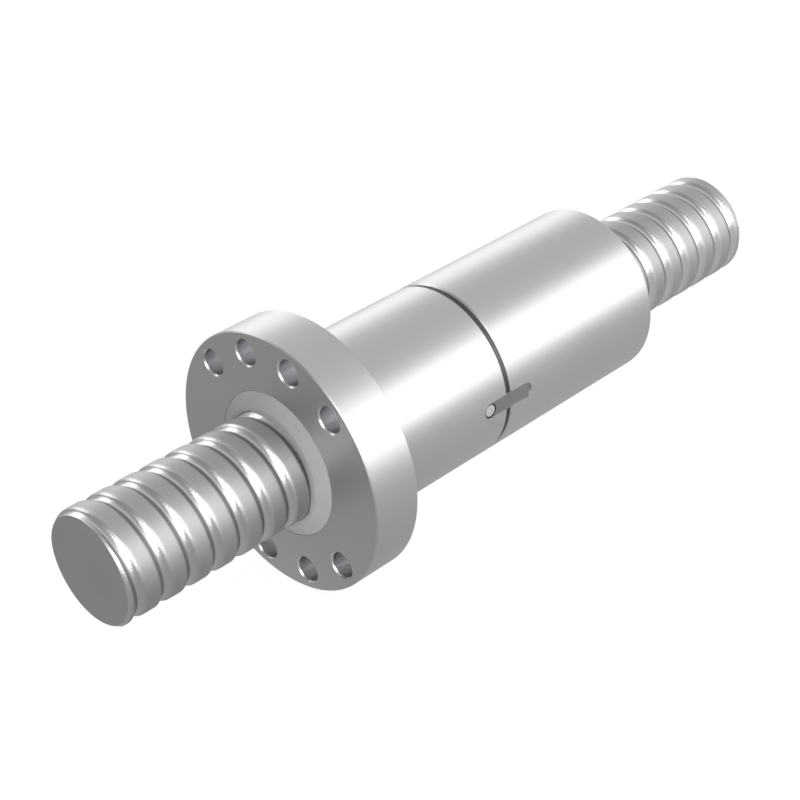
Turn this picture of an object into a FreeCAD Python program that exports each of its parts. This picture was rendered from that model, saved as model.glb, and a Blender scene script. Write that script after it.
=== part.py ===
import math
import os

import FreeCAD
import Part
import Sketcher
from FreeCAD import Placement, Rotation, Vector

# Ball screw: a threaded shaft that runs in a flanged double nut with steel balls between.
# +X runs along the screw from the flange to the rear nut, +Z is up, and the origin is the centre
# of the flange's back face, which seats on a machine. Angles about the axis go from +Y to +Z.
SIZES = {
    # shaft: ground outside radius, and how far it reaches each way from the flange's back face
    "shaft_radius": "19.5",
    "shaft_front": "93.2",
    "shaft_rear": "205",
    "shaft_chamfer": "1",
    # thread: advance in one turn, ball and its circle, and where the groove crosses the +Y line
    "lead": "10",
    "ball_radius": "2",
    "ball_circle_radius": "20.2",
    "ball_play": "0.1",
    "thread_start": "5.42",
    # angles from the radius at which the groove's flats touch the ball's circle
    "steep_flat_angle": "55",
    "shallow_flat_angle": "20",
    # nut bodies and the flange
    "nut_radius": "31.5",
    "nut_bore_radius": "21",
    "front_nut_end": "57.7",
    "rear_nut_length": "75.4",
    "nut_chamfer": "0.5",
    "rear_edge_chamfer": "1",
    "flange_radius": "46",
    "flange_thickness": "18",
    "flange_chamfer": "0.4",
    "bolt_hole_radius": "4.5",
    "bolt_hole_chamfer": "0.5",
    "bolt_step_angle": "30",
    # preload spacer between the nuts
    "spacer_thickness": "2",
    "spacer_sunk": "0.6",
    "spacer_wall": "6.4",
    "spacer_split": "0.4",
    "spacer_split_angle": "60",
    # key that stops the nuts from turning on each other, and its screw
    "key_width": "6",
    "key_length": "23",
    "key_sunk": "0.4",
    "key_depth": "4.4",
    "key_angle": "180",
    "key_ahead": "0.5",
    "key_screw_radius": "1.5",
    "key_screw_head_radius": "2.1",
    "key_counterbore_radius": "2.6",
    "key_screw_length": "7",
    "key_screw_head_height": "1.7",
    "key_screw_head_sunk": "0.2",
    "key_screw_hex": "1.5",
    "key_screw_socket_depth": "1.2",
    # wipers, their seats and the split rings that hold them
    "wiper_radius": "25.7",
    "wiper_seat_depth": "7",
    "wiper_proud": "2.7",
    "wiper_lip_radius": "20.6",
    "wiper_play": "0.15",
    "wiper_land": "3",
    "ring_thickness": "1.2",
    "ring_height": "1.8",
    "ring_play": "0.25",
    "ring_depth": "3.2",
    "ring_gap": "5",
    "ring_angle": "320",
    # ball circuits: each is one turn, led back over the shaft's land by a deflector in the nut wall
    "circuits_per_nut": "3",
    "track_runout": "0.15",
    "deflector_angle": "275",
    "deflector_step_angle": "45",
    "deflector_half_width": "7",
    "deflector_half_run": "6.8",
    "deflector_sunk": "0.3",
    "deflector_margin": "2",
    "crossing_half_length": "10",
    "crossing_slant_length": "8",
    "crossing_bend_radius": "7",
    "crossing_rise": "0.4",
    "crossing_play": "0.25",
    "ball_gap": "0.1",
    # lubrication port in the flange's rim
    "port_radius": "3.5",
    "port_depth": "10",
    "port_passage_radius": "2",
    "port_angle": "0",
    "port_from_back": "8",
}

doc = FreeCAD.newDocument("ball_screw")
sizes = doc.addObject("Spreadsheet::Sheet", "sizes")
for row, (alias, number) in enumerate(SIZES.items(), 1):
    sizes.set(f"A{row}", alias)
    sizes.set(f"B{row}", number)
    sizes.setAlias(f"B{row}", alias)
doc.recompute()


def size(expression):
    """The number that an expression on the sheet's aliases gives now."""
    return float(sizes.evalExpression(expression))


def origin(body, role):
    return next(o for o in body.Origin.OriginFeatures if o.Role == role)


def new_body(name):
    body = doc.addObject("PartDesign::Body", name)
    body.Label = name
    return body


def new_sketch(body, label, plane, offset):
    sketch = body.newObject("Sketcher::SketchObject", label)
    sketch.AttachmentSupport = [(origin(body, plane), "")]
    sketch.MapMode = "FlatFace"
    if offset is not None:
        sketch.AttachmentOffset = offset
    return sketch


def held(sketch, item, point, first, second):
    """Ties a point of a sketch's item to two expressions."""
    for kind, expression in (("DistanceX", first), ("DistanceY", second)):
        rule = Sketcher.Constraint(kind, -1, 1, item, point, size(expression))
        sketch.setExpression(f"Constraints[{sketch.addConstraint(rule)}]", expression)


def outline(body, label, corners, offset=None):
    """Closed outline of straight edges in the XY plane. A corner is two expressions."""
    sketch = new_sketch(body, label, "XY_Plane", offset)
    points = [Vector(size(first), size(second), 0) for first, second in corners]
    for i, point in enumerate(points):
        sketch.addGeometry(Part.LineSegment(point, points[(i + 1) % len(points)]))
    for i in range(len(points)):
        sketch.addConstraint(Sketcher.Constraint("Coincident", i, 2, (i + 1) % len(points), 1))
    for i, (first, second) in enumerate(corners):
        held(sketch, i, 1, first, second)
    return sketch


def circles(body, label, radius, centres, plane="XY_Plane", offset=None):
    """Sketch of equal circles, each centre given by two expressions."""
    sketch = new_sketch(body, label, plane, offset)
    for i, (first, second) in enumerate(centres):
        centre = Vector(size(first), size(second), 0)
        sketch.addGeometry(Part.Circle(centre, Vector(0, 0, 1), size(radius)))
        held(sketch, i, 3, first, second)
        index = sketch.addConstraint(Sketcher.Constraint("Radius", i, size(radius)))
        sketch.setExpression(f"Constraints[{index}]", radius)
    return sketch


def slot(body, label, half_run, half_width, lean, offset, middle="0"):
    """Obround sketch: two arcs half_run either way from the middle, leaning from the X axis."""
    sketch = new_sketch(body, label, "XY_Plane", offset)
    run, width, angle = size(half_run), size(half_width), math.radians(size(lean))
    way = Vector(math.cos(angle), math.sin(angle), 0)
    side = Vector(-way.y, way.x, 0) * width
    ends = [Vector(size(middle), 0, 0) + way * run, Vector(size(middle), 0, 0) - way * run]
    for i in (0, 1):
        circle = Part.Circle(ends[i], Vector(0, 0, 1), width)
        start = angle + (i - 0.5) * math.pi
        sketch.addGeometry(Part.ArcOfCircle(circle, start, start + math.pi))
        sketch.addGeometry(Part.LineSegment(ends[i] + side, ends[1 - i] + side))
        side = -side
    for i in range(4):
        sketch.addConstraint(Sketcher.Constraint("Tangent", i, 2, (i + 1) % 4, 1))
    for arc, sign in ((0, 1), (2, -1)):
        reach = f"{sign} * ({half_run})"
        held(sketch, arc, 3, f"{middle} + {reach} * cos(({lean}) * 1deg)", f"{reach} * sin(({lean}) * 1deg)")
    index = sketch.addConstraint(Sketcher.Constraint("Radius", 0, width))
    sketch.setExpression(f"Constraints[{index}]", half_width)
    return sketch


def radial(angle, height="0"):
    """Sketch placement that looks outward along the radius at an angle, height off the axis."""
    turn = Rotation(Vector(1, 0, 0), size(angle) - 90)
    return Placement(turn.multVec(Vector(0, 0, size(height))), turn)


def meridian(angle, along="0"):
    """Sketch placement that holds the axis and the radius at an angle."""
    return Placement(Vector(size(along), 0, 0), Rotation(Vector(1, 0, 0), size(angle)))


def turned(body, label, corners, offset=None, angle="360", kind="Revolution"):
    """Solid of revolution about the screw axis, or with kind Groove a cut of that form."""
    profile = outline(body, label + "_section", corners, offset)
    feature = body.newObject("PartDesign::" + kind, label)
    feature.Profile = profile
    feature.ReferenceAxis = (origin(body, "X_Axis"), [""])
    feature.setExpression("Angle", angle)
    doc.recompute()
    return feature


def cut(body, label, sketch, depth, outward):
    """Pocket of a depth, along the sketch's normal or against it."""
    feature = body.newObject("PartDesign::Pocket", label)
    feature.Profile = sketch
    feature.Reversed = outward
    feature.setExpression("Length", depth)
    doc.recompute()
    return feature


def grown(body, label, sketch, height):
    """Pad of a height along the sketch's normal."""
    feature = body.newObject("PartDesign::Pad", label)
    feature.Profile = sketch
    feature.setExpression("Length", height)
    doc.recompute()
    return feature


def thread_groove(body, label, side, flats, start_turn, turns):
    """Ball groove in a body. Its section is flats that touch the ball's circle with a little play.

    side is -1 for the shaft's groove, below the ball, and 1 for the nut's, above it. flats are
    the angles of the flats on one side of the middle, from the shallowest to the steepest.
    """
    touch = "(sizes.ball_radius + sizes.ball_play)"
    lip = "(sizes.ball_circle_radius - sizes.shaft_radius) / 4"
    angles = ["-(" + flats[0] + ")"] + list(flats)
    half = []
    for inner, outer in zip(angles, angles[1:]):
        middle = f"(({inner}) + ({outer})) / 2 * 1deg"
        reach = f"{touch} / cos((({outer}) - ({inner})) / 2 * 1deg)"
        half.append((f"{reach} * sin({middle})", f"{reach} * cos({middle})"))
    last = f"({flats[-1]}) * 1deg"
    half.append((f"({touch} - {lip} * cos({last})) / sin({last})", lip))
    corners = [(along, f"sizes.ball_circle_radius + {side} * ({depth})") for along, depth in half]
    corners += [(f"-({along})", off) for along, off in reversed(corners[1:])]
    place = meridian(f"360 * ({start_turn})", f"sizes.thread_start + sizes.lead * ({start_turn})")
    feature = body.newObject("PartDesign::SubtractiveHelix", label)
    feature.Profile = outline(body, label + "_section", corners, place)
    feature.ReferenceAxis = (origin(body, "X_Axis"), [""])
    feature.Mode = 0
    feature.setExpression("Pitch", "sizes.lead")
    feature.setExpression("Height", f"sizes.lead * ({turns})")
    doc.recompute()
    return feature


# Shaft: a ground bar with a chamfer at each end and one ball groove from end to end
shaft = new_body("screw_shaft")
turned(shaft, "blank", [
    ("-sizes.shaft_front", "0"),
    ("sizes.shaft_rear", "0"),
    ("sizes.shaft_rear", "sizes.shaft_radius - sizes.shaft_chamfer"),
    ("sizes.shaft_rear - sizes.shaft_chamfer", "sizes.shaft_radius"),
    ("-sizes.shaft_front + sizes.shaft_chamfer", "sizes.shaft_radius"),
    ("-sizes.shaft_front", "sizes.shaft_radius - sizes.shaft_chamfer"),
])
first_turn = math.floor(size("(-sizes.shaft_front - sizes.thread_start) / sizes.lead")) - 1
last_turn = math.ceil(size("(sizes.shaft_rear - sizes.thread_start) / sizes.lead")) + 1
four_flats = ("sizes.shallow_flat_angle", "sizes.steep_flat_angle")
thread_groove(shaft, "ball_track", -1, four_flats, first_turn, last_turn - first_turn)

# Ball circuits: each crosses from the end of a turn of the groove back to its start. lean is the
# angle from the X axis of the line between the two, and of the deflector's long way
cross_turn = "(asin(sizes.crossing_half_length / sizes.ball_circle_radius) / 360deg)"
lean = f"(atan(sizes.crossing_half_length / (sizes.lead * (0.5 - {cross_turn}))) / 1deg)"


def circuit_place(circuit_turn, i):
    """A circuit's angle, and how far along the axis its groove starts there, as expressions."""
    angle = f"(sizes.deflector_angle + {i} * sizes.deflector_step_angle)"
    start = f"(sizes.thread_start + sizes.lead * ({circuit_turn} + {i} + {angle} / 360))"
    return angle, start


def first_circuit(wall):
    """The whole turn of the thread whose circuit is the first with its deflector clear of a wall."""
    half_length = f"(sizes.deflector_half_run * cos({lean} * 1deg) + sizes.deflector_half_width)"
    nearest = f"{wall} + {half_length} + sizes.deflector_margin"
    start = f"({nearest} - sizes.lead / 2 - sizes.thread_start) / sizes.lead"
    return math.ceil(size(f"{start} - sizes.deflector_angle / 360"))


def ring_walls(face, inward):
    """How far along the axis a snap ring's groove starts and ends, from a nut's end face inward."""
    half = "(sizes.ring_thickness / 2 + sizes.ring_play)"
    return [f"{face} + {inward} * (sizes.ring_depth {sign} {half})" for sign in "-+"]


def wiper_seat(face, inward):
    """Corners of a wiper's seat with its ring groove, from the bore to the nut's end face.

    inward is 1 or -1 along +X.
    """
    near, far = ring_walls(face, inward)
    floor = f"{face} + {inward} * sizes.wiper_seat_depth"
    top = "sizes.wiper_radius + sizes.ring_height / 2 + sizes.ring_play"
    return [
        (floor, "sizes.nut_bore_radius"),
        (floor, "sizes.wiper_radius"),
        (far, "sizes.wiper_radius"),
        (far, top),
        (near, top),
        (near, "sizes.wiper_radius"),
        (face, "sizes.wiper_radius"),
    ]


def nut(name, section, circuit_turn):
    """Nut body: turned blank, a groove along its ball circuits and a window for each deflector."""
    body = new_body(name)
    turned(body, name + "_blank", section)
    first = f"{circuit_turn} + sizes.deflector_angle / 360 - sizes.track_runout"
    steps = "(sizes.circuits_per_nut - 1) * (1 + sizes.deflector_step_angle / 360)"
    thread_groove(body, name + "_track", 1, ("45",), first, f"{steps} + 1 + 2 * sizes.track_runout")
    for i in range(round(size("sizes.circuits_per_nut"))):
        angle, start = circuit_place(circuit_turn, i)
        window = slot(body, f"{name}_window_{i + 1}", "sizes.deflector_half_run",
                      "sizes.deflector_half_width", lean, radial(angle), f"{start} + sizes.lead / 2")
        cut(body, f"{name}_opening_{i + 1}", window, "sizes.nut_radius + 1", True)
    return body


front_face = "-sizes.flange_thickness"
rear_nut_start = "(sizes.front_nut_end + sizes.spacer_thickness)"
rear_face = f"({rear_nut_start} + sizes.rear_nut_length)"
front_turn = first_circuit("0")
rear_turn = first_circuit(rear_nut_start)

# Flanged nut: the front barrel and the flange by which the double nut is bolted to a machine
flanged_nut = nut("flanged_nut", wiper_seat(front_face, 1) + [
    (front_face, "sizes.flange_radius - sizes.flange_chamfer"),
    (f"{front_face} + sizes.flange_chamfer", "sizes.flange_radius"),
    ("-sizes.flange_chamfer", "sizes.flange_radius"),
    ("0", "sizes.flange_radius - sizes.flange_chamfer"),
    ("0", "sizes.nut_radius"),
    ("sizes.front_nut_end - sizes.nut_chamfer", "sizes.nut_radius"),
    ("sizes.front_nut_end", "sizes.nut_radius - sizes.nut_chamfer"),
    ("sizes.front_nut_end", "sizes.nut_bore_radius"),
], front_turn)

# Flange holes: four above and four below, a step apart, midway between the barrel and the rim
bolt_circle = "(sizes.flange_radius + sizes.nut_radius) / 2"
bolt_centres = []
for side in (90, 270):
    for i in range(4):
        at = f"({side} + {i - 1.5} * sizes.bolt_step_angle) * 1deg"
        bolt_centres.append((f"{bolt_circle} * cos({at})", f"{bolt_circle} * sin({at})"))
holes = circles(flanged_nut, "bolt_centres", "sizes.bolt_hole_radius", bolt_centres, "YZ_Plane")
cut(flanged_nut, "bolt_holes", holes, "sizes.flange_thickness", False)
mouths = circles(flanged_nut, "bolt_mouths", "sizes.bolt_hole_radius + sizes.bolt_hole_chamfer",
                 bolt_centres, "YZ_Plane", Placement(Vector(0, 0, size(front_face)), Rotation()))
countersinks = cut(flanged_nut, "bolt_countersinks", mouths, "sizes.bolt_hole_chamfer", True)
countersinks.TaperAngle = -45
doc.recompute()

# Lubrication port: a tapped hole in the flange's rim and a passage from it to the ball track
port_centre = [("-sizes.port_from_back", "0")]
passage = circles(flanged_nut, "port_passage", "sizes.port_passage_radius", port_centre,
                  offset=radial("sizes.port_angle"))
cut(flanged_nut, "passage", passage, "sizes.flange_radius", True)
mouth = circles(flanged_nut, "port_mouth", "sizes.port_radius", port_centre,
                offset=radial("sizes.port_angle", "sizes.flange_radius - sizes.port_depth"))
cut(flanged_nut, "port", mouth, "sizes.port_depth + 1", True)

# Rear nut: a plain barrel with its wiper seat at the far end
rear_nut = nut("rear_nut", list(reversed(wiper_seat(rear_face, -1))) + [
    (rear_nut_start, "sizes.nut_bore_radius"),
    (rear_nut_start, "sizes.nut_radius - sizes.nut_chamfer"),
    (f"{rear_nut_start} + sizes.nut_chamfer", "sizes.nut_radius"),
    (f"{rear_face} - sizes.rear_edge_chamfer", "sizes.nut_radius"),
    (rear_face, "sizes.nut_radius - sizes.rear_edge_chamfer"),
], rear_turn)

# Preload spacer: a ring ground to thickness and slit in two, so that it goes in round the shaft
joint_middle = "(sizes.front_nut_end + sizes.spacer_thickness / 2)"
spacer_top = "(sizes.nut_radius - sizes.spacer_sunk)"
slit = f"(sizes.spacer_split / {spacer_top} * 180 / pi)"
halves = []
for name, turn in (("spacer_half_key", "0"), ("spacer_half_plain", "180")):
    half = new_body(name)
    turned(half, name + "_ring", [
        ("sizes.front_nut_end", f"{spacer_top} - sizes.spacer_wall"),
        (rear_nut_start, f"{spacer_top} - sizes.spacer_wall"),
        (rear_nut_start, spacer_top),
        ("sizes.front_nut_end", spacer_top),
    ], meridian(f"sizes.spacer_split_angle + {turn} + {slit} / 2"), f"180 - {slit}")
    halves.append(half)

# Key: its slot runs from one nut into the other through the keyed half of the spacer
key_middle = f"({joint_middle} - sizes.key_ahead)"
key_top = "(sizes.nut_radius - sizes.key_sunk)"
key_floor = "sizes.nut_radius - sizes.key_depth"
key_run = "(sizes.key_length - sizes.key_width) / 2"
key_shape = (key_run, "sizes.key_width / 2", "0", radial("sizes.key_angle", key_floor), key_middle)
for body in (flanged_nut, rear_nut, halves[0]):
    opening = slot(body, body.Name + "_key_slot", *key_shape)
    cut(body, body.Name + "_key_pocket", opening, "sizes.key_depth + 1", True)
key = new_body("nut_key")
grown(key, "key_blank", slot(key, "key_outline", *key_shape), "sizes.key_depth - sizes.key_sunk")

# Screw of the key: its shank goes through the key into the flanged nut, its head sits in the key
screw_centre = [(f"{key_middle} - {key_run}", "0")]
shank_end = radial("sizes.key_angle", f"{key_top} - sizes.key_screw_length")
head_seat = radial("sizes.key_angle", f"{key_top} - sizes.key_screw_head_height")
head_top = radial("sizes.key_angle", f"{key_top} - sizes.key_screw_head_sunk")
for body in (key, flanged_nut):
    hole = circles(body, body.Name + "_screw_hole", "sizes.key_screw_radius", screw_centre, offset=shank_end)
    cut(body, body.Name + "_screw_bore", hole, "sizes.key_screw_length", True)
sink = circles(key, "key_sink", "sizes.key_counterbore_radius", screw_centre, offset=head_seat)
cut(key, "key_counterbore", sink, "sizes.key_screw_head_height", True)
key_screw = new_body("key_screw")
shank = circles(key_screw, "shank_circle", "sizes.key_screw_radius", screw_centre, offset=shank_end)
grown(key_screw, "shank", shank, "sizes.key_screw_length - sizes.key_screw_head_sunk")
head = circles(key_screw, "head_circle", "sizes.key_screw_head_radius", screw_centre, offset=head_seat)
grown(key_screw, "head", head, "sizes.key_screw_head_height - sizes.key_screw_head_sunk")
hexagon = [(f"{screw_centre[0][0]} + sizes.key_screw_hex / sqrt(3) * cos({60 * i}deg)",
            f"sizes.key_screw_hex / sqrt(3) * sin({60 * i}deg)") for i in range(6)]
socket = outline(key_screw, "socket_hexagon", hexagon, head_top)
cut(key_screw, "socket", socket, "sizes.key_screw_socket_depth", False)

# Wipers: plastic rings in the nuts' end seats, with a lip that clears the shaft by a hair. A split
# ring that snaps into a groove half in the nut and half in the wiper holds each
wipers = []
rings = []
for end, face, inward in (("front", front_face, 1), ("rear", rear_face, -1)):
    near, far = ring_walls(face, inward)
    tip = f"{face} - {inward} * sizes.wiper_proud"
    back = f"{face} + {inward} * sizes.wiper_seat_depth"
    floor = "sizes.wiper_radius - sizes.ring_height / 2 - sizes.ring_play"
    lip = "sizes.shaft_radius + sizes.wiper_play"
    wiper = new_body(end + "_wiper")
    turned(wiper, end + "_wiper_ring", [
        (face, "sizes.wiper_radius"),
        (near, "sizes.wiper_radius"),
        (near, floor),
        (far, floor),
        (far, "sizes.wiper_radius"),
        (back, "sizes.wiper_radius"),
        (back, "sizes.nut_bore_radius"),
        (f"{tip} + {inward} * sizes.wiper_land", lip),
        (tip, lip),
        (tip, "sizes.wiper_lip_radius"),
    ])
    wipers.append(wiper)
    gap = "(sizes.ring_gap / sizes.wiper_radius * 180 / pi)"
    middle = f"{face} + {inward} * sizes.ring_depth"
    ring = new_body(end + "_snap_ring")
    turned(ring, end + "_split_ring", [
        (f"{middle} - sizes.ring_thickness / 2", "sizes.wiper_radius - sizes.ring_height / 2"),
        (f"{middle} + sizes.ring_thickness / 2", "sizes.wiper_radius - sizes.ring_height / 2"),
        (f"{middle} + sizes.ring_thickness / 2", "sizes.wiper_radius + sizes.ring_height / 2"),
        (f"{middle} - sizes.ring_thickness / 2", "sizes.wiper_radius + sizes.ring_height / 2"),
    ], meridian(f"sizes.ring_angle + {gap} / 2"), f"360 - {gap}")
    rings.append(ring)

# Balls: one turn of the groove, then a crossing that lifts them over the shaft's land. The frame
# of one circuit has the crossing at angle 0, along +Y, and the groove there at X 0
lead = size("sizes.lead")
circle = size("sizes.ball_circle_radius")
ball_radius = size("sizes.ball_radius")
half_crossing = size("sizes.crossing_half_length")
half_cross = math.asin(half_crossing / circle)
lifted = size("sizes.shaft_radius + sizes.ball_radius + sizes.crossing_play")


def crossing_wire(over):
    """Level S-shaped line of the crossing: straight, bend, slant, bend and straight.

    It runs on by over at each end.
    """
    bend = size("sizes.crossing_bend_radius")
    shift = lead * (0.5 - half_cross / (2 * math.pi))
    slant = size("sizes.crossing_slant_length") / 2
    turn = math.atan2(shift, slant)
    trim = bend * math.tan(turn / 2)
    slope = Vector(math.sin(turn), 0, -math.cos(turn))
    entry, leave = [], []
    for side, points in ((1, entry), (-1, leave)):
        corner = Vector(lead / 2 + side * shift, lifted, -side * slant)
        far = Vector(corner.x, lifted, -side * (half_crossing + over))
        straight = corner - Vector(0, 0, side * trim)
        centre = straight - Vector(side * bend, 0, 0)
        half_way = centre + (corner - centre).normalize() * bend
        points += [far, straight, half_way, corner - slope * (side * trim)]
    leave.reverse()
    return Part.Wire([Part.makeLine(entry[0], entry[1]), Part.Arc(*entry[1:]).toShape(),
                      Part.makeLine(entry[3], leave[0]), Part.Arc(*leave[:3]).toShape(),
                      Part.makeLine(leave[2], leave[3])])


def ball_path(steps):
    """Centres of a ball at close steps round the closed circuit."""
    path = []
    for i in range(steps):
        angle = half_cross + (2 * math.pi - 2 * half_cross) * i / steps
        path.append(Vector(lead * angle / (2 * math.pi), circle * math.cos(angle), circle * math.sin(angle)))
    for point in crossing_wire(0).discretize(Number=steps // 4):
        share = (point.z / half_crossing + 1) / 2
        rise = min(max(min(share, 1 - share) / size("sizes.crossing_rise"), 0.0), 1.0)
        radius = circle + (lifted - circle) * (1 - math.cos(math.pi * rise)) / 2
        path.append(Vector(point.x, math.sqrt(radius ** 2 - point.z ** 2), point.z))
    return path + path[:1]


def faceted_ball(radius):
    """Ball of 26 flat faces with its 24 corners on the real ball's surface."""
    far = 1 + math.sqrt(2)
    signs = (-1, 1)
    corners = [Vector(*(far * s if axis == i else s for axis, s in enumerate((a, b, c))))
               for a in signs for b in signs for c in signs for i in range(3)]
    steps = (-1, 0, 1)
    faces = []
    for way in [Vector(a, b, c) for a in steps for b in steps for c in steps if a or b or c]:
        reach = max(corner.dot(way) for corner in corners)
        around = [corner for corner in corners if corner.dot(way) > reach - 1e-6]
        first = (around[0] - way * (around[0].dot(way) / way.dot(way))).normalize()
        second = way.cross(first)
        around.sort(key=lambda corner: math.atan2(corner.dot(second), corner.dot(first)))
        faces.append(Part.Face(Part.makePolygon(around + around[:1])))
    return Part.Solid(Part.Shell(faces)).scaled(radius / corners[0].Length)


path = ball_path(2000)
lengths = [0.0]
for one, other in zip(path, path[1:]):
    lengths.append(lengths[-1] + (other - one).Length)
count = math.floor(lengths[-1] / size("2 * sizes.ball_radius + sizes.ball_gap"))
one_ball = faceted_ball(ball_radius)
balls = []
for i in range(count):
    wanted = lengths[-1] * (i + 0.5) / count
    ball = one_ball.copy()
    ball.translate(path[next(j for j, length in enumerate(lengths) if length >= wanted)])
    balls.append(ball)
ball_set = Part.makeCompound(balls)

# Deflector: an obround plug cut to the nut's curves, with an S-shaped channel in its underside
plug = new_body("deflector_plug")
grown(plug, "plug_blank", slot(plug, "plug_outline", "sizes.deflector_half_run", "sizes.deflector_half_width",
                               lean, radial("0"), "sizes.lead / 2"), "sizes.nut_radius + 5")
past = "(sizes.lead + sizes.deflector_half_run + sizes.deflector_half_width)"
crown = "sizes.nut_radius - sizes.deflector_sunk"
for label, low, high in (("plug_bore", "0", "sizes.nut_bore_radius"),
                         ("plug_crown", crown, "2 * sizes.nut_radius")):
    turned(plug, label, [(f"-{past}", low), (past, low), (past, high), (f"-{past}", high)], kind="Groove")
width = size("sizes.ball_radius + sizes.ball_play")
bevel = width * math.tan(math.pi / 8)
spine = crossing_wire(2 * ball_radius)
start = spine.Vertexes[0].Point
channel_corners = [(-width, -lifted / 2), (-width, bevel), (-bevel, width), (bevel, width), (width, bevel),
                   (width, -lifted / 2), (-width, -lifted / 2)]
channel_section = Part.makePolygon([start + Vector(x, y, 0) for x, y in channel_corners])
channel = doc.addObject("Part::Feature", "channel")
channel.Shape = spine.makePipe(Part.Face(channel_section))
deflector = doc.addObject("Part::Cut", "deflector")
deflector.Base = plug
deflector.Tool = channel
doc.recompute()

# One deflector and one set of balls for each circuit of each nut
placed = []
for end, circuit_turn in (("front", front_turn), ("rear", rear_turn)):
    for i in range(round(size("sizes.circuits_per_nut"))):
        angle, start = circuit_place(circuit_turn, i)
        place = Placement(Vector(size(start), 0, 0), Rotation(Vector(1, 0, 0), size(angle)))
        for kind, shape in (("deflector", deflector.Shape), ("balls", ball_set)):
            piece = doc.addObject("Part::Feature", f"{end}_{kind}_{i + 1}")
            piece.Label = piece.Name
            piece.Shape = shape
            piece.Placement = place
            placed.append(piece)

nodes = [shaft, flanged_nut, rear_nut, *halves, key, key_screw, *wipers, *rings, *placed]
doc.recompute()
for thing in doc.Objects:
    if "Invalid" in thing.State or "Error" in thing.State:
        raise RuntimeError(f"{thing.Name} failed: {thing.State}")
for node in nodes:
    if node.Shape.isNull() or not node.Shape.isValid():
        raise RuntimeError(f"{node.Label} has no valid shape")
os.makedirs("parts", exist_ok=True)
for node in nodes:
    node.Shape.exportStep(f"parts/{node.Label}.step")
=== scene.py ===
import math

import bmesh
import bpy
from mathutils import Matrix, Vector


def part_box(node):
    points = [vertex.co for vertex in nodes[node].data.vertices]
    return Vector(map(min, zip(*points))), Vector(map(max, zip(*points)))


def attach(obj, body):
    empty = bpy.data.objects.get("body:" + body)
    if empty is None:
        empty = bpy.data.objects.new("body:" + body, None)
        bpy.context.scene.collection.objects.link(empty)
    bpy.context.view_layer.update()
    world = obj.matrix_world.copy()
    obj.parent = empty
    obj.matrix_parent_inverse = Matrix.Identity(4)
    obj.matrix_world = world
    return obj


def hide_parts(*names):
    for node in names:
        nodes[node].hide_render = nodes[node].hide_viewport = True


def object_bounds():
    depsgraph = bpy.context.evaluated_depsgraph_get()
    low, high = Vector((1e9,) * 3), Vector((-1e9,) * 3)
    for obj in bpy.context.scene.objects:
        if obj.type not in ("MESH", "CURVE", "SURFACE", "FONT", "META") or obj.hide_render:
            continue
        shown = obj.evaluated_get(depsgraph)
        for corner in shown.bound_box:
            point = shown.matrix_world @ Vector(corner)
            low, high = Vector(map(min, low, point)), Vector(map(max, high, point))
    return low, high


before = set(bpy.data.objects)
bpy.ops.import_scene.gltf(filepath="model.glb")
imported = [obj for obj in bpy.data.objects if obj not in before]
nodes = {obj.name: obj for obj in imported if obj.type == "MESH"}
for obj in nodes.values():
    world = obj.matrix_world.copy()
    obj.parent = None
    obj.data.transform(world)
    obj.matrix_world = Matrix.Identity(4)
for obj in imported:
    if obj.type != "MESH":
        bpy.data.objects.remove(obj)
cad_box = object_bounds()

# The screw: a ground steel bar with one right-hand ball thread, cut off plain at both ends.
# The thread is a gothic arch, two arcs a little wider than the ball, whose lips run over into the
# lands in an arc.
screw_radius = 0.0195
screw_lead = 0.010
ball_circle = 0.0202
arch_radius = 0.0021
arch_offset = 0.00004
lip_radius = 0.0018
thread_start = 0.00542
end_chamfer = 0.001

# Edges that bend by more than a crease's angle, in radians, are drawn sharp. Points closer together
# than a weld's distance are joined.
thread_crease = 0.7
solid_crease = 0.35
wiper_crease = 0.6
thread_weld = 2e-6
solid_weld = 1e-6


class Wire:
    """One socket of a node tree: sums, products and the like on it add the maths nodes."""

    def __init__(self, tree, socket):
        self.tree = tree
        self.socket = socket

    def maths(self, operation, *values):
        node = self.tree.nodes.new("ShaderNodeMath")
        node.operation = operation
        for i, value in enumerate((self, *values)):
            plug(self.tree, node.inputs[i], value)
        return Wire(self.tree, node.outputs[0])

    def __add__(self, other):
        return self.maths("ADD", other)

    def __sub__(self, other):
        return self.maths("SUBTRACT", other)

    def __mul__(self, other):
        return self.maths("MULTIPLY", other)

    def __truediv__(self, other):
        return self.maths("DIVIDE", other)

    def __pow__(self, other):
        return self.maths("POWER", other)

    def __mod__(self, other):
        return self.maths("FLOORED_MODULO", other)

    def __neg__(self):
        return self.maths("MULTIPLY", -1)

    def __abs__(self):
        return self.maths("ABSOLUTE")

    def __lt__(self, other):
        return self.maths("LESS_THAN", other)

    def __gt__(self, other):
        return self.maths("GREATER_THAN", other)

    def __rsub__(self, other):
        return (-self) + other

    __radd__ = __add__
    __rmul__ = __mul__

    def least(self, other):
        return self.maths("MINIMUM", other)

    def most(self, other):
        return self.maths("MAXIMUM", other)

    def whole(self):
        return self.maths("FLOOR")

    def root(self):
        return self.maths("SQRT")

    def cosine(self):
        return self.maths("COSINE")

    def sine(self):
        return self.maths("SINE")

    def between(self, low, high):
        """0 at low, 1 at high, smooth in between."""
        share = ((self - low) / (high - low)).most(0).least(1)
        return share * share * (3 - 2 * share)


def plug(tree, socket, value):
    if isinstance(value, Wire):
        tree.links.new(value.socket, socket)
    else:
        socket.default_value = value


def node(tree, kind, settings=(), out=0, **values):
    """A new node's output, its settings made first and its sockets, named with _ for a space, after."""
    new = tree.nodes.new(kind)
    for name, value in dict(settings).items():
        setattr(new, name, value)
    for name, value in values.items():
        plug(tree, new.inputs[name.replace("_", " ")], value)
    return Wire(tree, new.outputs[out])


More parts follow.
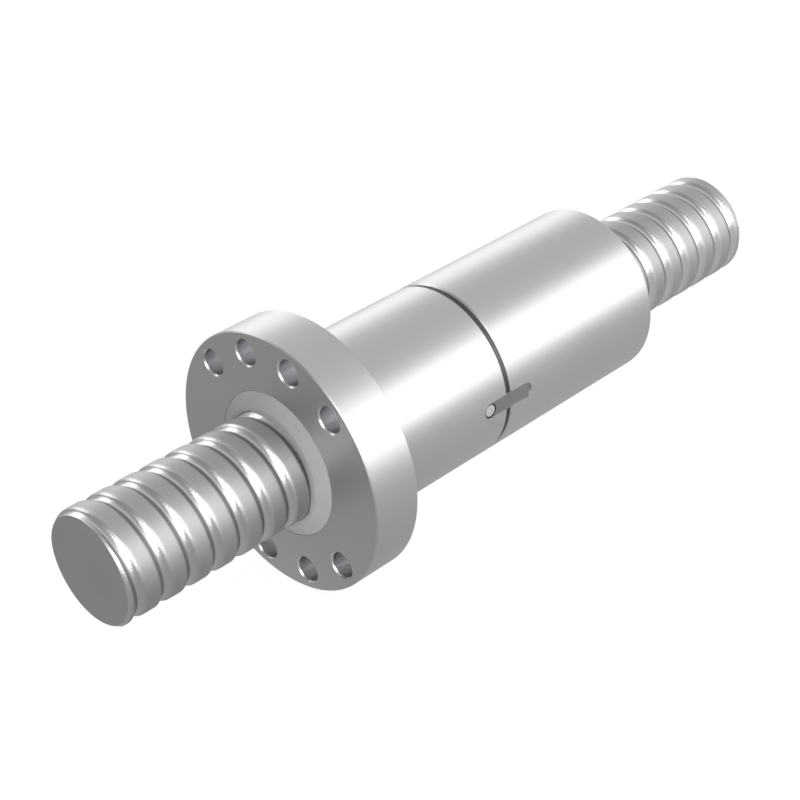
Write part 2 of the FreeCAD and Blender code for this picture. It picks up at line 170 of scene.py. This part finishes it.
def screw_tree(front, rear, around, in_arch, on_land):
    """The thread as a fine grid wound round the axis: columns follow the thread, rows go round."""
    tree = bpy.data.node_groups.new("ball_thread", "GeometryNodeTree")
    sizes = {"Radius": screw_radius, "Lead": screw_lead, "Ball circle": ball_circle,
             "Arch radius": arch_radius, "Arch offset": arch_offset, "Lip radius": lip_radius,
             "Start": thread_start, "Front": front, "Rear": rear, "Chamfer": end_chamfer}
    for name, value in sizes.items():
        entry = tree.interface.new_socket(name=name, in_out="INPUT", socket_type="NodeSocketFloat")
        entry.default_value = value
    tree.interface.new_socket(name="Finish", in_out="INPUT", socket_type="NodeSocketMaterial")
    tree.interface.new_socket(name="Geometry", in_out="OUTPUT", socket_type="NodeSocketGeometry")
    given = tree.nodes.new("NodeGroupInput")
    size = {name: Wire(tree, given.outputs[name]) for name in sizes}
    columns_a_turn = in_arch + on_land
    first = math.floor((front - thread_start) / screw_lead) - 1
    last = math.ceil((rear - thread_start) / screw_lead) + 1
    columns = (last - first) * columns_a_turn + 1
    rows = around + 1
    grid = node(tree, "GeometryNodeMeshGrid", Vertices_X=columns, Vertices_Y=rows)

    # Each point's column along the thread and its angle round it, and the turn that the column is on.
    index = node(tree, "GeometryNodeInputIndex")
    column = (index / rows + 0.5 / rows).whole()
    angle = (index - column * rows) * (2 * math.pi / around)
    turn = (column / columns_a_turn + 0.5 / columns_a_turn).whole()
    step = column - turn * columns_a_turn

    # How far from the groove's middle the arch ends and the lip ends, where each touches the next.
    lip_middle = size["Radius"] - size["Lip radius"]
    both = size["Arch radius"] + size["Lip radius"]
    to_lip = (both ** 2 - (size["Ball circle"] - lip_middle) ** 2).root()
    lip_end = to_lip - size["Arch offset"]
    arch_end = to_lip * size["Arch radius"] / both - size["Arch offset"]

    # Columns lie closer together towards the edges of the groove and of the land.
    in_groove = -lip_end * (step * (math.pi / in_arch)).cosine()
    land_share = (1 - ((step - in_arch) * (math.pi / on_land)).cosine()) / 2
    over_land = lip_end + (size["Lead"] - 2 * lip_end) * land_share
    on_groove = step < in_arch + 0.5
    across = over_land + on_groove * (in_groove - over_land)
    line = size["Start"] + size["Lead"] * (turn + first + angle / (2 * math.pi))
    along = (line + across).most(size["Front"]).least(size["Rear"])

    # The radius there: arch, lip or land, cut back by the chamfers and closed at both ends.
    offset = abs((along - line + size["Lead"] / 2) % size["Lead"] - size["Lead"] / 2)
    from_centre = offset + size["Arch offset"]
    arch = size["Ball circle"] - (size["Arch radius"] ** 2 - from_centre ** 2).most(0).root()
    lip = lip_middle + (size["Lip radius"] ** 2 - (lip_end - offset).most(0) ** 2).most(0).root()
    radius = lip + (offset < arch_end) * (arch - lip)
    radius = radius.least(size["Radius"] - size["Chamfer"] + along - size["Front"])
    radius = radius.least(size["Radius"] - size["Chamfer"] + size["Rear"] - along)
    radius = radius * (column > 0.5) * (column < columns - 1.5)
    place = node(tree, "ShaderNodeCombineXYZ", X=along, Y=radius * angle.cosine(), Z=radius * angle.sine())
    wound = node(tree, "GeometryNodeSetPosition", Geometry=grid, Position=place)
    closed = node(tree, "GeometryNodeMergeByDistance", Geometry=wound, Distance=thread_weld)
    sharp = node(tree, "GeometryNodeInputMeshEdgeAngle") > thread_crease
    creased = node(tree, "GeometryNodeStoreNamedAttribute", {"data_type": "BOOLEAN", "domain": "EDGE"},
                   Geometry=closed, Name="sharp_edge", Value=sharp)
    real = node(tree, "GeometryNodeRealizeInstances", Geometry=creased)
    done = node(tree, "GeometryNodeSetMaterial", Geometry=real, Material=Wire(tree, given.outputs["Finish"]))
    result = tree.nodes.new("NodeGroupOutput")
    plug(tree, result.inputs[0], done)
    return tree


def made(name, tree, base=None, **inputs):
    """The tree's result as a plain mesh object, with the modifier gone."""
    seed = bpy.data.objects.new(name + "_seed", base or bpy.data.meshes.new(name + "_seed"))
    bpy.context.scene.collection.objects.link(seed)
    modifier = seed.modifiers.new("tree", "NODES")
    modifier.node_group = tree
    sockets = {s.name: s.identifier for s in tree.interface.items_tree if s.in_out == "INPUT"}
    for key, value in inputs.items():
        modifier[sockets[key.replace("_", " ")]] = value
    ready = seed.evaluated_get(bpy.context.evaluated_depsgraph_get())
    mesh = bpy.data.meshes.new_from_object(ready)
    bpy.data.objects.remove(seed)
    piece = bpy.data.objects.new(name, mesh)
    bpy.context.scene.collection.objects.link(piece)
    return piece


def finish(name):
    """A new material, its tree and its shader, and a wire for the point on the object."""
    material = bpy.data.materials.new(name)
    material.use_nodes = True
    tree = material.node_tree
    shader = tree.nodes["Principled BSDF"]
    point = node(tree, "ShaderNodeTexCoord", out="Object")
    return material, tree, shader, point


def noise(tree, point, scale, detail=3):
    """Noise from 0 to 1 about 0.5, with scale in specks a metre."""
    spread = node(tree, "ShaderNodeMapping", Vector=point, Scale=[scale] * 3)
    return node(tree, "ShaderNodeTexNoise", Vector=spread, Scale=1.0, Detail=detail, Roughness=0.6)


def blended(tree, share, one, other):
    """A colour from one at 0 to other at 1."""
    mix = tree.nodes.new("ShaderNodeMix")
    mix.data_type = "RGBA"
    plug(tree, mix.inputs[0], share)
    plug(tree, mix.inputs[6], one)
    plug(tree, mix.inputs[7], other)
    return Wire(tree, mix.outputs[2])


def grey(level):
    return (level, level, level * 1.02, 1)


def axis_parts(tree, point):
    """Place along the axis, distance from it and angle round it."""
    split = tree.nodes.new("ShaderNodeSeparateXYZ")
    plug(tree, split.inputs[0], point)
    x, y, z = (Wire(tree, out) for out in split.outputs)
    return x, (y * y + z * z).root(), z.maths("ARCTAN2", y)


def facing_axis(tree):
    """1 on flat faces that look along the axis, 0 elsewhere."""
    normal = tree.nodes.new("ShaderNodeSeparateXYZ")
    plug(tree, normal.inputs[0], node(tree, "ShaderNodeTexCoord", out="Normal"))
    return abs(Wire(tree, normal.outputs[0])).between(0.8, 0.95)


face_rings = 6000


def grinding(tree, along, radius, facing, lines):
    """Fine noise, so many lines a metre along the given way, or rings on faces that look along the axis."""
    across_lines = along * lines
    place = across_lines + facing * (radius * face_rings - across_lines)
    return node(tree, "ShaderNodeTexNoise", {"noise_dimensions": "1D"}, W=place, Scale=1.0, Detail=2.0)


def band(place, fade_in, fade_out):
    """1 between two places, each side fading over a pair of them."""
    return place.between(*fade_in) * (1 - place.between(*fade_out))


shaft_low, shaft_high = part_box("screw_shaft")

# Where the thread's marks fade in and out: across the groove from its middle, the polished flank with its
# painted highlight and the other flank's painted shade; along the axis from the near end, the painted
# highlight on the cut edge.
polish_highlight_fade_in = (-0.0004, 0.0002)
polish_highlight_fade_out = (0.0012, 0.0034)
shade_fade_in = (-0.0028, -0.0016)
shade_fade_out = (-0.0006, 0.0002)
edge_highlight_fade_out = (0.0008, 0.0013)


def thread_steel():
    """Ground thread: satin lands; one flank of the groove polished and painted lighter as a painted
    highlight, the other painted darker as painted shade.
    """
    material, tree, shader, point = finish("thread_steel")
    x, radius, angle = axis_parts(tree, point)
    facing = facing_axis(tree)
    wound = x - thread_start - angle * (screw_lead / (2 * math.pi))
    across = (wound + screw_lead / 2) % screw_lead - screw_lead / 2
    # Painted highlight: the first millimetre at the near end, the cut edge, is painted lighter as a bright
    # line and made smoother.
    edge_highlight = (1 - (x - shaft_low.x).between(*edge_highlight_fade_out)) * (1 - facing)
    # Painted highlight: one flank of the groove is painted lighter as a bright crescent, and made smoother
    # for real polish.
    flank_polish_highlight = band(across, polish_highlight_fade_in, polish_highlight_fade_out) * (1 - facing)
    # Painted shade: the other flank is painted darker as the dark crease behind each land.
    shaded_flank = band(across, shade_fade_in, shade_fade_out) * (1 - facing)
    polish_and_highlight = flank_polish_highlight.most(edge_highlight)
    painted_shade = shaded_flank * (1 - edge_highlight)
    lines = grinding(tree, across, radius, facing, 9000)
    cloud = noise(tree, point, 60)
    tone = (lines - 0.5) * 0.10 + (cloud - 0.5) * 0.12 + polish_and_highlight * 0.34 - painted_shade * 0.32 + facing * 0.12 + 0.39
    plug(tree, shader.inputs["Base Color"], blended(tree, tone, grey(0.20), grey(0.90)))
    shader.inputs["Metallic"].default_value = 1
    plug(tree, shader.inputs["Roughness"], 0.54 - polish_and_highlight * 0.25 - facing * 0.12 + (lines - 0.5) * 0.10
         + (cloud - 0.5) * 0.06)
    bump = node(tree, "ShaderNodeBump", Strength=0.12, Distance=0.0001, Height=lines)
    plug(tree, shader.inputs["Normal"], bump)
    return material


ball_thread = screw_tree(shaft_low.x, shaft_high.x, around=96, in_arch=24, on_land=6)
screw = made("screw", ball_thread, Finish=thread_steel())
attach(screw, "shaft")
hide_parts("screw_shaft")


# The double nut: two hardened and ground steel barrels, the front one with the bolting flange.
# Turned all over, then ground round the outside and across the flange's faces.
def rounded_shading():
    """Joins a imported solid's loose triangles, and keeps only its real edges sharp."""
    tree = bpy.data.node_groups.new("rounded_shading", "GeometryNodeTree")
    for way in ("INPUT", "OUTPUT"):
        tree.interface.new_socket(name="Geometry", in_out=way, socket_type="NodeSocketGeometry")
    given = tree.nodes.new("NodeGroupInput")
    solid = Wire(tree, given.outputs[0])
    joined = node(tree, "GeometryNodeMergeByDistance", Geometry=solid, Distance=solid_weld)
    smooth = node(tree, "GeometryNodeSetShadeSmooth", Geometry=joined, Shade_Smooth=True)
    sharp = node(tree, "GeometryNodeInputMeshEdgeAngle") > solid_crease
    creased = node(tree, "GeometryNodeStoreNamedAttribute", {"data_type": "BOOLEAN", "domain": "EDGE"},
                   Geometry=smooth, Name="sharp_edge", Value=sharp)
    result = tree.nodes.new("NodeGroupOutput")
    plug(tree, result.inputs[0], creased)
    return tree


shading = rounded_shading()


def dress(name, material):
    """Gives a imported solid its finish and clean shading."""
    solid = nodes[name]
    solid.data.materials.clear()
    solid.data.materials.append(material)
    solid.modifiers.new("shading", "NODES").node_group = shading


bolt_ring_inside = 0.0335
bolt_ring_outside = 0.0445


def ground_steel():
    """Ground barrel and flange: fine rings on flat faces, fine lines round the barrel, and bolt holes painted
    lighter as painted light against the shade inside them.
    """
    material, tree, shader, point = finish("ground_steel")
    x, radius, angle = axis_parts(tree, point)
    facing = facing_axis(tree)
    # Painted light: the bolt holes' walls are painted light grey and made smoother, so they show less of the
    # shade inside them.
    bore = (1 - facing) * (radius > bolt_ring_inside) * (radius < bolt_ring_outside)
    lines = grinding(tree, x, radius, facing, 7000)
    cloud = noise(tree, point, 35)
    tone = (lines - 0.5) * 0.12 + (cloud - 0.5) * 0.12 + 0.5
    steel = blended(tree, tone, grey(0.52), grey(0.70))
    plug(tree, shader.inputs["Base Color"], blended(tree, bore, steel, grey(0.75)))
    shader.inputs["Metallic"].default_value = 1
    plug(tree, shader.inputs["Roughness"], 0.38 + facing * 0.06 - bore * 0.06 + (lines - 0.5) * 0.10
         + (cloud - 0.5) * 0.05)
    bump = node(tree, "ShaderNodeBump", Strength=0.10, Distance=0.0001, Height=lines)
    plug(tree, shader.inputs["Normal"], bump)
    return material


barrel_steel = ground_steel()
dress("flanged_nut", barrel_steel)
dress("rear_nut", barrel_steel)


# The spacer between the nuts: a ground ring in two halves, chosen in thickness to set the preload.
# It sits a little below the nuts' outside and is painted darker than them, as painted shade in the gap
# between the nuts.
def plain_steel(name, level, roughness, spread=0.06):
    """A darker or brighter plain steel, clouded a little."""
    material, tree, shader, point = finish(name)
    cloud = noise(tree, point, 250)
    fine = noise(tree, point, 4000, 2)
    tone = (cloud - 0.5) * 0.8 + (fine - 0.5) * 0.4 + 0.5
    plug(tree, shader.inputs["Base Color"], blended(tree, tone, grey(level - spread), grey(level + spread)))
    shader.inputs["Metallic"].default_value = 1
    plug(tree, shader.inputs["Roughness"], roughness + (cloud - 0.5) * 0.10 + (fine - 0.5) * 0.08)
    bump = node(tree, "ShaderNodeBump", Strength=0.08, Distance=0.0001, Height=fine)
    plug(tree, shader.inputs["Normal"], bump)
    return material


spacer_steel = plain_steel("spacer_steel", 0.11, 0.45)
dress("spacer_half_key", spacer_steel)
dress("spacer_half_plain", spacer_steel)

# The key across the joint: a round-ended steel bar held down by one small socket screw.
# It keeps the two nuts from turning on each other once they are set.
dress("nut_key", plain_steel("key_steel", 0.34, 0.42))
dress("key_screw", plain_steel("key_screw_steel", 0.90, 0.40))


# The wipers: moulded plastic rings pressed into the nuts' ends, with a lip that follows the screw.
# They keep dirt out of the balls, and show as a pale collar round the screw.
def wiper_plastic():
    """Moulded grey plastic: softly clouded, with a fine even grain."""
    material, tree, shader, point = finish("wiper_plastic")
    cloud = noise(tree, point, 120)
    fine = noise(tree, point, 3000, 2)
    tone = (cloud - 0.5) * 0.6 + (fine - 0.5) * 0.3 + 0.5
    plug(tree, shader.inputs["Base Color"], blended(tree, tone, grey(0.32), grey(0.43)))
    plug(tree, shader.inputs["Roughness"], 0.5 + (fine - 0.5) * 0.15)
    shader.inputs["Specular IOR Level"].default_value = 0.5
    bump = node(tree, "ShaderNodeBump", Strength=0.10, Distance=0.0001, Height=fine)
    plug(tree, shader.inputs["Normal"], bump)
    return material


wiper_mouth = 0.0208
wiper_bore = 0.0213
lip_play = 0.00012

# The wiper's front is a cone from its mouth to just before the nut's face, where it rounds into its rim.
mouth_chamfer = 0.0001
cone_end = 0.0002
cone_drop = 0.0006
rim_drop = 0.00015
rim_depth = 0.0004

# The snap ring's groove, from the nut's face inward.
ring_groove_near = 0.0024
ring_groove_far = 0.0040
ring_groove_depth = 0.0011


def wiper_ring(name, face, inward, around=144, steps=28):
    """A wiper whose bore follows the thread, so that its lip lies in the groove all the way round."""
    low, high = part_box(f"{name}_wiper")
    outside = high.y
    tip = low.x if inward > 0 else high.x
    back = high.x if inward > 0 else low.x
    near, far = face + inward * ring_groove_near, face + inward * ring_groove_far
    groove_floor = outside - ring_groove_depth

    # From the mouth down the cone, round the snap ring's groove to the back, then along the lip.
    section = [(tip, wiper_mouth), (tip + inward * mouth_chamfer, wiper_bore)]
    section += [(face - inward * cone_end, outside - cone_drop), (face, outside - rim_drop)]
    section += [(face + inward * rim_depth, outside), (near, outside), (near, groove_floor)]
    section += [(far, groove_floor), (far, outside), (back, outside), (back, wiper_bore)]
    section += [(back + (tip - back) * i / steps, None) for i in range(steps + 1)]

    points, faces = [], []
    for i in range(around):
        angle = 2 * math.pi * i / around
        for x, radius in section:
            if radius is None:
                phase = (x - thread_start) / screw_lead - angle / (2 * math.pi)
                offset = abs((phase + 0.5) % 1 - 0.5) * screw_lead + arch_offset
                depth = math.sqrt(max(arch_radius ** 2 - offset ** 2, 0))
                radius = min(screw_radius, ball_circle - depth) + lip_play
            points.append((x, radius * math.cos(angle), radius * math.sin(angle)))
        for k in range(len(section)):
            one, two = i * len(section), (i + 1) % around * len(section)
            after = (k + 1) % len(section)
            faces.append((one + k, two + k, two + after, one + after))
    mesh = bpy.data.meshes.new(f"{name}_wiper_ring")
    mesh.from_pydata(points, [], faces)
    form = bmesh.new()
    form.from_mesh(mesh)
    bmesh.ops.recalc_face_normals(form, faces=form.faces)
    for edge in form.edges:
        edge.smooth = len(edge.link_faces) == 2 and edge.calc_face_angle() < wiper_crease
    for side in form.faces:
        side.smooth = True
    form.to_mesh(mesh)
    form.free()
    mesh.materials.append(pale_plastic)
    piece = bpy.data.objects.new(f"{name}_wiper_ring", mesh)
    bpy.context.scene.collection.objects.link(piece)
    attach(piece, "nut")
    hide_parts(f"{name}_wiper")


pale_plastic = wiper_plastic()
wiper_ring("front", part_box("flanged_nut")[0].x, 1)
wiper_ring("rear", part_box("rear_nut")[1].x, -1)

# The snap rings behind the wipers, the deflectors that lift the balls from one turn of the thread
# back to the turn before, and six closed circuits of polished balls between screw and nuts.
spring_steel = plain_steel("spring_steel", 0.28, 0.4)
dress("front_snap_ring", spring_steel)
dress("rear_snap_ring", spring_steel)
deflector_steel = plain_steel("deflector_steel", 0.5, 0.38)
for end in ("front", "rear"):
    for i in (1, 2, 3):
        dress(f"{end}_deflector_{i}", deflector_steel)


def ball_tree(radius):
    """A round ball on each vertex of the given mesh."""
    tree = bpy.data.node_groups.new("balls", "GeometryNodeTree")
    tree.interface.new_socket(name="Geometry", in_out="INPUT", socket_type="NodeSocketGeometry")
    entry = tree.interface.new_socket(name="Radius", in_out="INPUT", socket_type="NodeSocketFloat")
    entry.default_value = radius
    tree.interface.new_socket(name="Finish", in_out="INPUT", socket_type="NodeSocketMaterial")
    tree.interface.new_socket(name="Geometry", in_out="OUTPUT", socket_type="NodeSocketGeometry")
    given = tree.nodes.new("NodeGroupInput")
    points = node(tree, "GeometryNodeMeshToPoints", Mesh=Wire(tree, given.outputs["Geometry"]))
    ball = node(tree, "GeometryNodeMeshIcoSphere", Radius=Wire(tree, given.outputs["Radius"]), Subdivisions=4)
    smooth = node(tree, "GeometryNodeSetShadeSmooth", Geometry=ball, Shade_Smooth=True)
    spread = node(tree, "GeometryNodeInstanceOnPoints", Points=points, Instance=smooth)
    real = node(tree, "GeometryNodeRealizeInstances", Geometry=spread)
    done = node(tree, "GeometryNodeSetMaterial", Geometry=real, Material=Wire(tree, given.outputs["Finish"]))
    result = tree.nodes.new("NodeGroupOutput")
    plug(tree, result.inputs[0], done)
    return tree


ball_radius = 0.002
balls_a_circuit = 32
ball_steel = plain_steel("ball_steel", 0.8, 0.12, 0.02)
balls = ball_tree(ball_radius)
for end in ("front", "rear"):
    for i in (1, 2, 3):
        name = f"{end}_balls_{i}"
        corners = [v.co for v in nodes[name].data.vertices]
        share = len(corners) // balls_a_circuit
        groups = [corners[k * share:(k + 1) * share] for k in range(balls_a_circuit)]
        spans = [[(min(c[a] for c in group), max(c[a] for c in group)) for a in range(3)] for group in groups]
        centres = [Vector([(least + most) / 2 for least, most in span]) for span in spans]
        places = bpy.data.meshes.new(name + "_places")
        places.from_pydata(centres, [], [])
        piece = made(f"{end}_circuit_{i}", balls, places, Finish=ball_steel)
        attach(piece, "nut")
        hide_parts(name)

# The camera stands before the near end, to the right of the screw and above it, and looks back along it
# through a long lens.
right = Vector((0.70534, -0.70673, -0.05484))
down = Vector((-0.40242, -0.33552, -0.85175))
ahead = right.cross(down)
stand = Vector((-0.3263, -0.3887, 0.3228))
lens = bpy.data.cameras.new("camera")
lens.sensor_width = 36
lens.lens = 82.6
camera = bpy.data.objects.new("camera", lens)
camera.matrix_world = Matrix((
    (right.x, -down.x, -ahead.x, stand.x),
    (right.y, -down.y, -ahead.y, stand.y),
    (right.z, -down.z, -ahead.z, stand.z),
    (0, 0, 0, 1)))
bpy.context.scene.collection.objects.link(camera)
bpy.context.scene.camera = camera


# The studio: a white floor and sky, a large soft box on the camera's side, a strip low behind the screw,
# and two boxes towards the near end that light the thread's flanks, one in front and one high behind.
lit_point = Vector((0.03, 0, 0))


def lamp(name, way, distance, wide, tall, radiance):
    """A soft box that faces the screw from the given way. Radiance 1 shows as white in a mirror."""
    light = bpy.data.lights.new(name, "AREA")
    light.shape = "RECTANGLE"
    light.size = wide
    light.size_y = tall
    light.energy = radiance * math.pi * wide * tall
    box = bpy.data.objects.new(name, light)
    way = Vector(way).normalized()
    box.location = lit_point + way * distance
    box.rotation_euler = way.to_track_quat("Z", "Y").to_euler()
    bpy.context.scene.collection.objects.link(box)


lamp("soft_box", (0.60, -0.713, 0.363), 1.2, 1.1, 0.87, 1.8)
lamp("back_strip", (0.55, 0.77, 0.21), 1.2, 1.0, 0.6, 1.1)
lamp("front_box", (-0.58, -0.764, 0.371), 1.0, 1.5, 0.65, 3.0)
lamp("over_box", (-0.15, 0.81, 0.50), 1.2, 0.8, 0.35, 3.2)

# The sky is white to look at. What it throws on the steel is dimmer towards the near end.
sky_seen = 1.02
sky_near = 0.30
sky_far = 0.66
world = bpy.data.worlds.new("studio")
world.use_nodes = True
bpy.context.scene.world = world
tree = world.node_tree
sky = tree.nodes["Background"]
seen = Wire(tree, tree.nodes.new("ShaderNodeLightPath").outputs["Is Camera Ray"])
bearing = tree.nodes.new("ShaderNodeSeparateXYZ")
plug(tree, bearing.inputs[0], node(tree, "ShaderNodeTexCoord", out="Generated"))
thrown = sky_near + Wire(tree, bearing.outputs[0]).between(-0.40, 0.35) * (sky_far - sky_near)
plug(tree, sky.inputs["Strength"], thrown + seen * (sky_seen - thrown))
sky.inputs["Color"].default_value = (1, 1, 1, 1)

# The floor is white to look at and keeps a trace of the shadow. Steel mirrors it as grey, and darker
# towards the near end.
floor_half = 3.0
floor_gap = 0.0002
floor_seen = 1.06
floor_near = 0.36
floor_far = 0.54
shadow_kept = 0.12
floor_mesh = bpy.data.meshes.new("floor")
level = cad_box[0][2] - floor_gap
corners = [(x * floor_half, y * floor_half, level) for x, y in ((-1, -1), (1, -1), (1, 1), (-1, 1))]
floor_mesh.from_pydata(corners, [], [(0, 1, 2, 3)])
floor = bpy.data.objects.new("floor", floor_mesh)
bpy.context.scene.collection.objects.link(floor)
material = bpy.data.materials.new("floor_white")
material.use_nodes = True
tree = material.node_tree
tree.nodes.remove(tree.nodes["Principled BSDF"])
path = tree.nodes.new("ShaderNodeLightPath")
looked_at = Wire(tree, path.outputs["Is Camera Ray"])
mirrored = Wire(tree, path.outputs["Is Glossy Ray"])
place = tree.nodes.new("ShaderNodeSeparateXYZ")
plug(tree, place.inputs[0], node(tree, "ShaderNodeTexCoord", out="Object"))
along = Wire(tree, place.outputs[0]).between(-0.12, 0.10)
matte = node(tree, "ShaderNodeBsdfDiffuse", Color=(0.8, 0.8, 0.8, 1))
glow = looked_at * floor_seen + mirrored * (floor_near + along * (floor_far - floor_near))
white = node(tree, "ShaderNodeEmission", Color=(1, 1, 1, 1), Strength=glow)
share = looked_at * (1 - shadow_kept) + mirrored
mixed = tree.nodes.new("ShaderNodeMixShader")
plug(tree, mixed.inputs[0], share)
plug(tree, mixed.inputs[1], matte)
plug(tree, mixed.inputs[2], white)
plug(tree, tree.nodes["Material Output"].inputs["Surface"], Wire(tree, mixed.outputs[0]))
floor_mesh.materials.append(material)

bpy.context.scene.view_settings.view_transform = "Standard"
